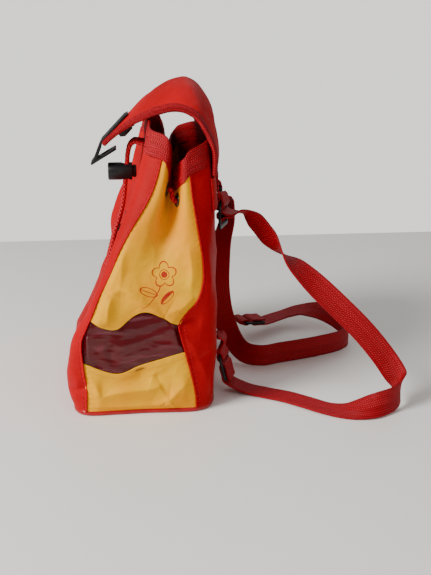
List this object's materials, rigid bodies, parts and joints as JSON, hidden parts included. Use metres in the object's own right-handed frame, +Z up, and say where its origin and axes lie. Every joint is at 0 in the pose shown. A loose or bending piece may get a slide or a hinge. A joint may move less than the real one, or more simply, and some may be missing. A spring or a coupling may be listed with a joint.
{
  "type": "child's drawstring rucksack",
  "caption": "Small soft rucksack with a gathered drawstring mouth, a folded-over flap with a snap clasp, film windows in its sides, and webbing shoulder straps.",
  "frame": {"origin": "centre of the underside of the base", "axes": "+Z up, -Y the front of the bag, +X the wearer's right side"},
  "size_m": [0.3098, 0.3503, 0.3297],
  "materials": {
    "red_nylon": "plain-woven nylon with a coated back, slight sheen",
    "yellow_nylon": "plain-woven nylon with a coated back, slight sheen",
    "red_webbing": "ribbed woven polypropylene",
    "red_cord": "braided cord",
    "window_film": "soft clear vinyl, glossy, creased",
    "dark_lining": "plain-woven nylon",
    "red_vinyl": "glossy vinyl piping",
    "black_plastic": "moulded, satin",
    "dark_metal": "rolled metal, dark lacquer",
    "spring_steel": "drawn wire",
    "grey_board": "flat plastic board"
  },
  "bodies": {
    "bag": {"base_panel": "red_nylon", "base_stiffener": "grey_board", "base_piping": "red_vinyl", "front_panel": "red_nylon", "back_panel": "red_nylon", "side_upper_right": "yellow_nylon", "side_lower_right": "yellow_nylon", "window_film_right": "window_film", "window_lining_right": "dark_lining", "side_upper_left": "yellow_nylon", "side_lower_left": "yellow_nylon", "window_film_left": "window_film", "window_lining_left": "dark_lining", "mouth_webbing": "red_webbing", "eyelet_front_right": "dark_metal", "eyelet_front_left": "dark_metal", "eyelet_side_front_right": "dark_metal", "eyelet_side_back_right": "dark_metal", "eyelet_side_front_left": "dark_metal", "eyelet_side_back_left": "dark_metal", "flap_hem": "red_nylon", "yoke_webbing": "red_webbing", "clasp_base": "black_plastic", "clasp_spring": "spring_steel", "clasp_inner_plate": "black_plastic", "adjuster_bottom_right": "black_plastic", "adjuster_bottom_left": "black_plastic", "top_tab_right": "red_webbing", "bottom_tab_right": "red_webbing", "top_tab_left": "red_webbing", "bottom_tab_left": "red_webbing", "shoulder_strap_right": "red_webbing", "shoulder_strap_left": "red_webbing", "drawstring_loop": "red_cord", "drawstring_tail_right": "red_cord", "drawstring_tail_left": "red_cord"},
    "flap": {"flap_cloth": "red_nylon", "flap_binding_right": "red_webbing", "flap_binding_left": "red_webbing", "clasp_tongue": "black_plastic", "clasp_back_plate": "black_plastic"},
    "clasp_button": {"clasp_button": "black_plastic"},
    "cord_lock": {"cord_lock_barrel": "black_plastic", "cord_lock_spring": "spring_steel"},
    "cord_lock_button": {"cord_lock_button": "black_plastic"},
    "adjuster_top_right": {"adjuster_top_right": "black_plastic"},
    "adjuster_top_left": {"adjuster_top_left": "black_plastic"}
  },
  "joints": [
    {"name": "flap_hinge", "type": "hinge", "parent": "bag", "child": "flap", "pos_m": [0, 0.0825, 0.2374], "axis": [-1, 0, 0], "range_deg": [0, 95]},
    {"name": "clasp_press", "type": "slide", "parent": "bag", "child": "clasp_button", "axis": [0, 0.9431, -0.3326], "range_m": [0, 0.0016], "stiffness_N_per_m": 600, "springref_m": -0.001, "deforming": ["clasp_spring"]},
    {"name": "cord_lock_slide", "type": "slide", "parent": "bag", "child": "cord_lock", "axis": [0, -0.1195, -0.9928], "range_m": [0, 0.025]},
    {"name": "cord_lock_press", "type": "slide", "parent": "cord_lock", "child": "cord_lock_button", "axis": [0, -1, 0], "range_m": [0, 0.004], "stiffness_N_per_m": 800, "springref_m": -0.002, "deforming": ["cord_lock_spring"]},
    {"name": "adjuster_top_right_tilt", "type": "hinge", "parent": "bag", "child": "adjuster_top_right", "pos_m": [0.044, 0.08755, 0.203], "axis": [0.9404, -0.3401, 0], "range_deg": [-4, 4]},
    {"name": "adjuster_top_left_tilt", "type": "hinge", "parent": "bag", "child": "adjuster_top_left", "pos_m": [-0.044, 0.08755, 0.203], "axis": [0.9404, 0.3401, 0], "range_deg": [-4, 4]}
  ]
}
